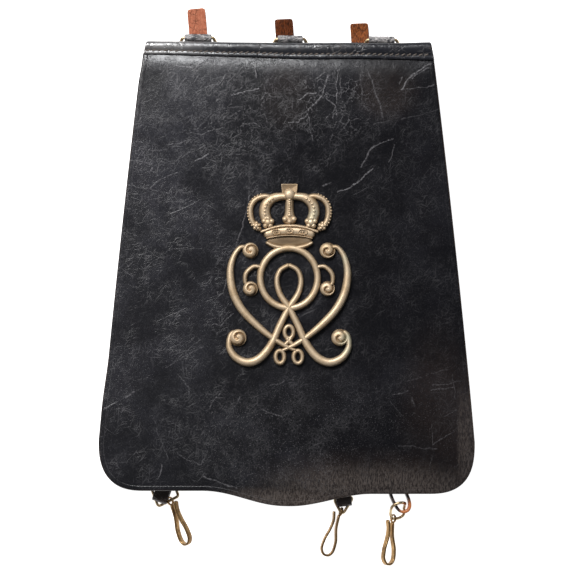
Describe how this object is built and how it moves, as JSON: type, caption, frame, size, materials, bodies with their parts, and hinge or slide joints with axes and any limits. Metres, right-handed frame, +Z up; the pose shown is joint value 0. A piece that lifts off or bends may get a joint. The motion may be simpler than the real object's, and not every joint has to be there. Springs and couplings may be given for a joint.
{
  "type": "sabretache",
  "caption": "Black leather cavalry sabretache lying on its back: flared flap with a crowned brass scrollwork badge over a shallow pocket, with slings behind it ending in rings and spring hooks.",
  "frame": {"origin": "middle of the bounding box in plan, on the surface the sabretache lies on", "axes": "+X to the right as the badge is read, +Y towards the top edge where the slings are hung, +Z up through the badge"},
  "size_m": [0.273, 0.4094, 0.0273],
  "materials": {
    "black_leather": "semi-gloss, creased and worn",
    "strap_leather": "worn",
    "brass": "cast, lightly tarnished"
  },
  "bodies": {
    "root": {"flap": "black_leather", "back_panel": "black_leather", "pocket": "black_leather", "top_band": "black_leather", "badge": "brass", "top_ring_left": "brass", "top_ring_middle": "brass", "top_ring_right": "brass", "ring_loop_left": "black_leather", "ring_loop_middle": "black_leather", "ring_loop_right": "black_leather", "sling_left": "strap_leather", "sling_middle": "strap_leather", "sling_right": "strap_leather", "hook_ring_left": "brass", "hook_ring_middle": "brass", "hook_ring_right": "brass", "hook_left": "brass", "hook_middle": "brass", "hook_right": "brass"}
  },
  "joints": []
}
